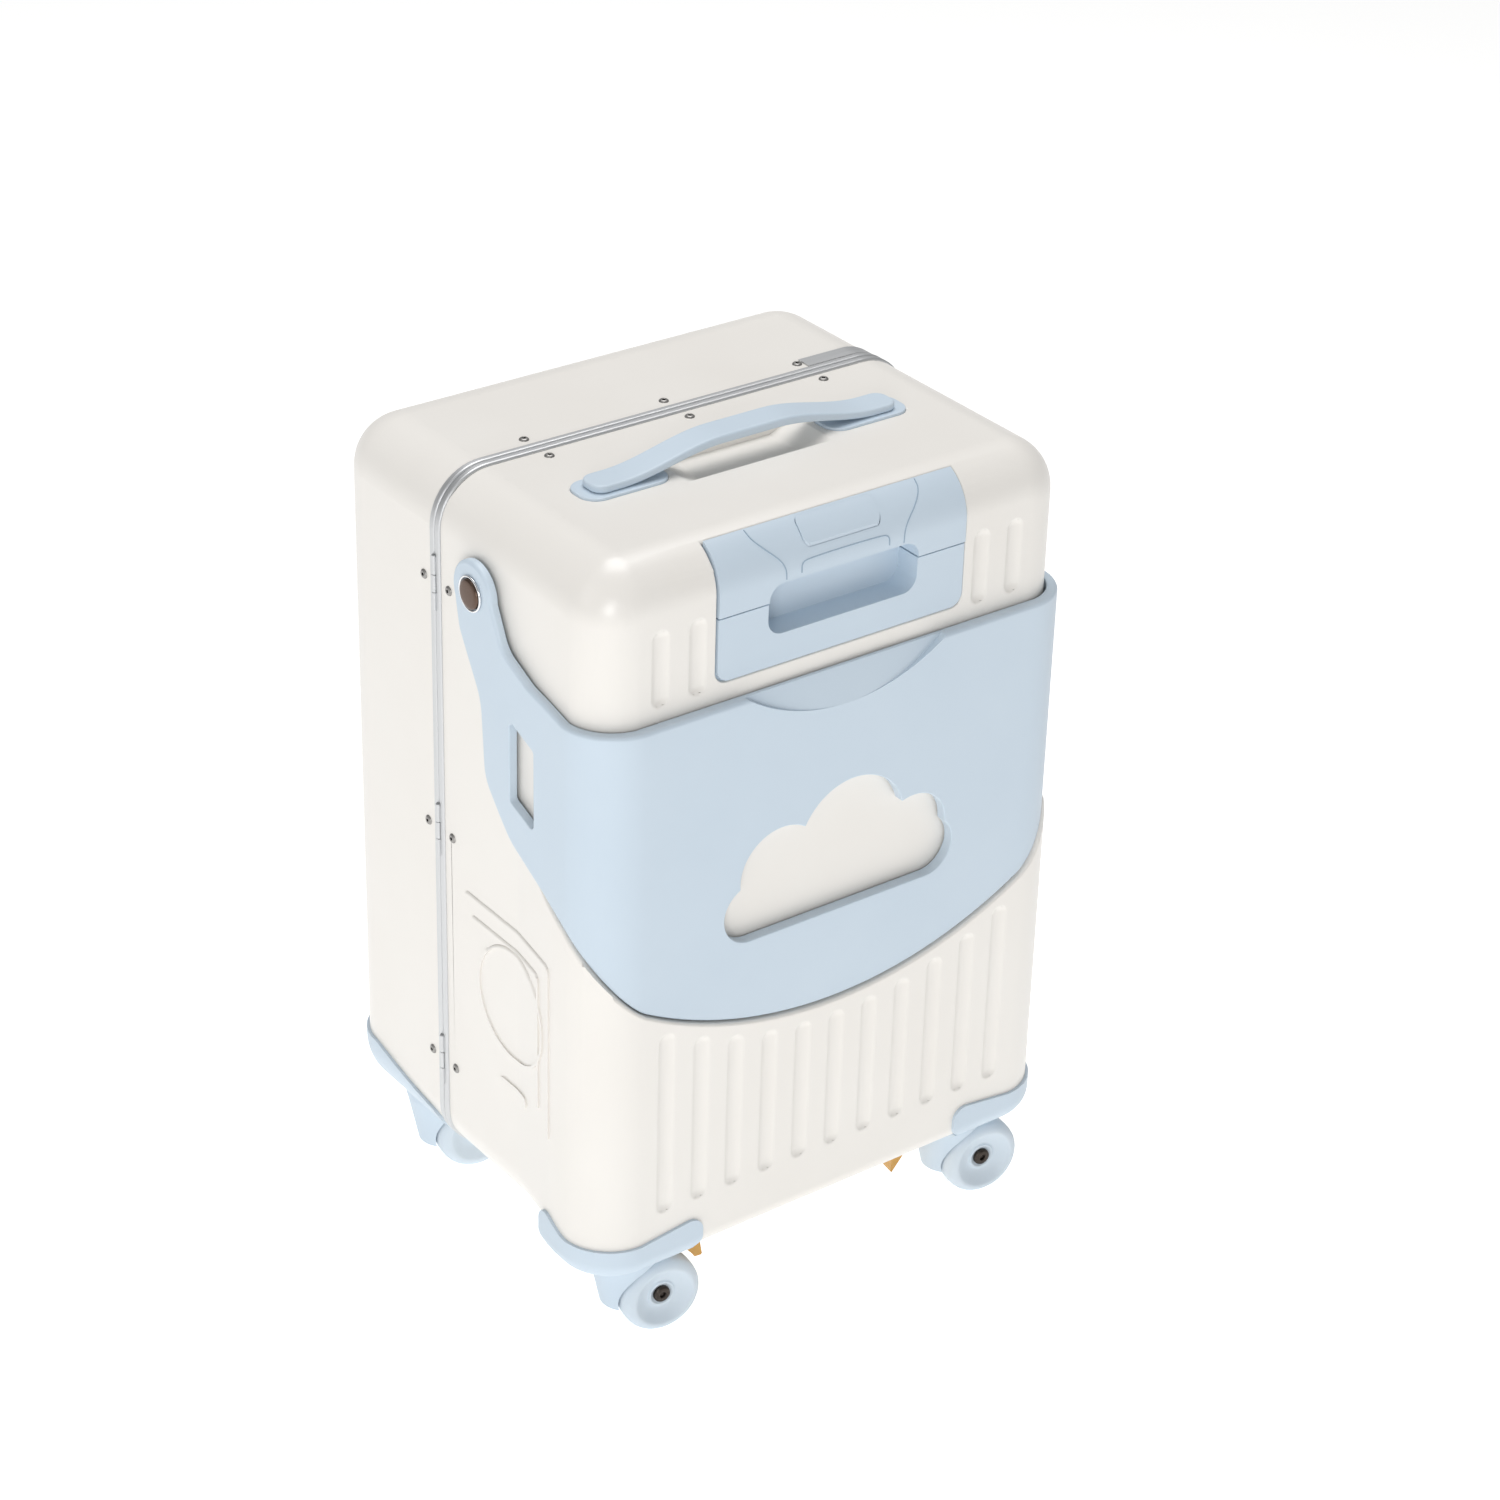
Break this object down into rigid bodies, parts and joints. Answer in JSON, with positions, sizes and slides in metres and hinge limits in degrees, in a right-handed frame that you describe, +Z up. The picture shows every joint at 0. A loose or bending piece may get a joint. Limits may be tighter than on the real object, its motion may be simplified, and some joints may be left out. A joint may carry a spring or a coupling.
{
  "type": "ride-on suitcase",
  "caption": "Hard-shell child's ride-on suitcase with a fold-over backrest, framed lid, trolley and carry handles, and swivel casters.",
  "frame": {"origin": "centre of the bounding box at the ground under the wheels", "axes": "+Z up, -Y towards the fluted front with the backrest, +X to the right seen from the front"},
  "size_m": [0.3908, 0.3188, 0.5972],
  "materials": {
    "white_shell": "smooth semi-gloss",
    "blue_plastic": "satin",
    "aluminium": "satin",
    "rivet_steel": "dull",
    "dark_metal": "gloss",
    "tyre": "matt",
    "amber_plastic": "gloss",
    "tube_metal": "anodised",
    "board": "woven"
  },
  "bodies": {
    "case": {"front_shell": "white_shell", "front_frame": "aluminium", "front_rivets": "rivet_steel", "hinge_leaves_front": "aluminium", "hinge_pins": "rivet_steel", "backrest_pin_right": "dark_metal", "backrest_pin_left": "dark_metal", "backrest_washers": "rivet_steel", "trolley_cup": "blue_plastic", "trolley_outer_tubes": "tube_metal", "carry_pads": "blue_plastic", "latch_bases": "aluminium", "lock_plate": "aluminium", "tube_board": "board", "housing_front_left": "blue_plastic", "housing_front_right": "blue_plastic"},
    "lid": {"rear_shell": "white_shell", "rear_frame": "aluminium", "rear_rivets": "rivet_steel", "hinge_leaves_rear": "aluminium", "latch_strikes": "aluminium", "latch_rail": "aluminium", "housing_rear_left": "blue_plastic", "housing_rear_right": "blue_plastic"},
    "backrest": {"backrest": "blue_plastic"},
    "trolley_middle": {"trolley_middle_tubes": "tube_metal"},
    "trolley_top": {"trolley_inner_tubes": "tube_metal", "trolley_grip": "blue_plastic"},
    "trolley_button": {"trolley_button": "blue_plastic"},
    "carry_strap": {"carry_strap": "blue_plastic"},
    "latch_low": {"latch_lever_low": "aluminium"},
    "latch_high": {"latch_lever_high": "aluminium"},
    "lock_barrel": {"lock_barrel": "rivet_steel"},
    "swivel_front_left": {"fork_front_left": "blue_plastic", "axle_front_left": "dark_metal"},
    "wheel_outer_front_left": {"wheel_outer_front_left": "tyre"},
    "wheel_inner_front_left": {"wheel_inner_front_left": "tyre"},
    "brake_front_left": {"brake_lever_front_left": "amber_plastic"},
    "swivel_front_right": {"fork_front_right": "blue_plastic", "axle_front_right": "dark_metal"},
    "wheel_outer_front_right": {"wheel_outer_front_right": "tyre"},
    "wheel_inner_front_right": {"wheel_inner_front_right": "tyre"},
    "brake_front_right": {"brake_lever_front_right": "amber_plastic"},
    "swivel_rear_left": {"fork_rear_left": "blue_plastic", "axle_rear_left": "dark_metal"},
    "wheel_outer_rear_left": {"wheel_outer_rear_left": "tyre"},
    "wheel_inner_rear_left": {"wheel_inner_rear_left": "tyre"},
    "swivel_rear_right": {"fork_rear_right": "blue_plastic", "axle_rear_right": "dark_metal"},
    "wheel_outer_rear_right": {"wheel_outer_rear_right": "tyre"},
    "wheel_inner_rear_right": {"wheel_inner_rear_right": "tyre"}
  },
  "joints": [
    {"name": "lid_swing", "type": "hinge", "parent": "case", "child": "lid", "pos_m": [-0.185, 0.03325, 0.325], "axis": [0, 0, -1], "range_deg": [-110, 0]},
    {"name": "backrest_fold", "type": "hinge", "parent": "case", "child": "backrest", "pos_m": [0, -0.02075, 0.5225], "axis": [-1, 0, 0], "range_deg": [0, 172]},
    {"name": "trolley_lower_stage", "type": "slide", "parent": "case", "child": "trolley_middle", "axis": [0, 0, 1], "range_m": [0, 0.23]},
    {"name": "trolley_upper_stage", "type": "slide", "parent": "trolley_middle", "child": "trolley_top", "axis": [0, 0, 1], "range_m": [0, 0.23]},
    {"name": "trolley_button_press", "type": "slide", "parent": "trolley_top", "child": "trolley_button", "axis": [0, 0, -1], "range_m": [0, 0.003], "stiffness_N_per_m": 400, "springref_m": -0.002},
    {"name": "carry_strap_lift", "type": "slide", "parent": "case", "child": "carry_strap", "axis": [0, 0, 1], "range_m": [0, 0.01]},
    {"name": "lock_turn", "type": "hinge", "parent": "case", "child": "lock_barrel", "pos_m": [0.1865, 0.01638, 0.375], "axis": [1, 0, 0], "range_deg": [0, 90]},
    {"name": "latch_low_flip", "type": "hinge", "parent": "case", "child": "latch_low", "pos_m": [0.18785, 0.00925, 0.225], "axis": [0, 0, -1], "range_deg": [0, 100]},
    {"name": "latch_high_flip", "type": "hinge", "parent": "case", "child": "latch_high", "pos_m": [0.18785, 0.00925, 0.435], "axis": [0, 0, -1], "range_deg": [0, 100]},
    {"name": "swivel_front_left_turn", "type": "hinge", "parent": "case", "child": "swivel_front_left", "pos_m": [-0.138, -0.11525, 0.06], "axis": [0, 0, 1], "continuous": true},
    {"name": "wheel_outer_front_left_spin", "type": "hinge", "parent": "swivel_front_left", "child": "wheel_outer_front_left", "pos_m": [-0.12018, -0.11775, 0.0285], "axis": [0.1392, 0.9903, 0], "continuous": true},
    {"name": "wheel_inner_front_left_spin", "type": "hinge", "parent": "swivel_front_left", "child": "wheel_inner_front_left", "pos_m": [-0.12018, -0.11775, 0.0285], "axis": [0.1392, 0.9903, 0], "continuous": true},
    {"name": "brake_front_left_press", "type": "hinge", "parent": "swivel_front_left", "child": "brake_front_left", "pos_m": [-0.10993, -0.1192, 0.0612], "axis": [0.1392, 0.9903, 0], "range_deg": [0, 7]},
    {"name": "swivel_front_right_turn", "type": "hinge", "parent": "case", "child": "swivel_front_right", "pos_m": [0.138, -0.11525, 0.06], "axis": [0, 0, 1], "continuous": true},
    {"name": "wheel_outer_front_right_spin", "type": "hinge", "parent": "swivel_front_right", "child": "wheel_outer_front_right", "pos_m": [0.15582, -0.11775, 0.0285], "axis": [0.1392, 0.9903, 0], "continuous": true},
    {"name": "wheel_inner_front_right_spin", "type": "hinge", "parent": "swivel_front_right", "child": "wheel_inner_front_right", "pos_m": [0.15582, -0.11775, 0.0285], "axis": [0.1392, 0.9903, 0], "continuous": true},
    {"name": "brake_front_right_press", "type": "hinge", "parent": "swivel_front_right", "child": "brake_front_right", "pos_m": [0.10993, -0.1113, 0.0612], "axis": [-0.1392, -0.9903, 0], "range_deg": [0, 7]},
    {"name": "swivel_rear_left_turn", "type": "hinge", "parent": "lid", "child": "swivel_rear_left", "pos_m": [-0.138, 0.11125, 0.06], "axis": [0, 0, 1], "continuous": true},
    {"name": "wheel_outer_rear_left_spin", "type": "hinge", "parent": "swivel_rear_left", "child": "wheel_outer_rear_left", "pos_m": [-0.12018, 0.10874, 0.0285], "axis": [0.1392, 0.9903, 0], "continuous": true},
    {"name": "wheel_inner_rear_left_spin", "type": "hinge", "parent": "swivel_rear_left", "child": "wheel_inner_rear_left", "pos_m": [-0.12018, 0.10874, 0.0285], "axis": [0.1392, 0.9903, 0], "continuous": true},
    {"name": "swivel_rear_right_turn", "type": "hinge", "parent": "lid", "child": "swivel_rear_right", "pos_m": [0.138, 0.11125, 0.06], "axis": [0, 0, 1], "continuous": true},
    {"name": "wheel_outer_rear_right_spin", "type": "hinge", "parent": "swivel_rear_right", "child": "wheel_outer_rear_right", "pos_m": [0.15582, 0.10874, 0.0285], "axis": [0.1392, 0.9903, 0], "continuous": true},
    {"name": "wheel_inner_rear_right_spin", "type": "hinge", "parent": "swivel_rear_right", "child": "wheel_inner_rear_right", "pos_m": [0.15582, 0.10874, 0.0285], "axis": [0.1392, 0.9903, 0], "continuous": true}
  ]
}
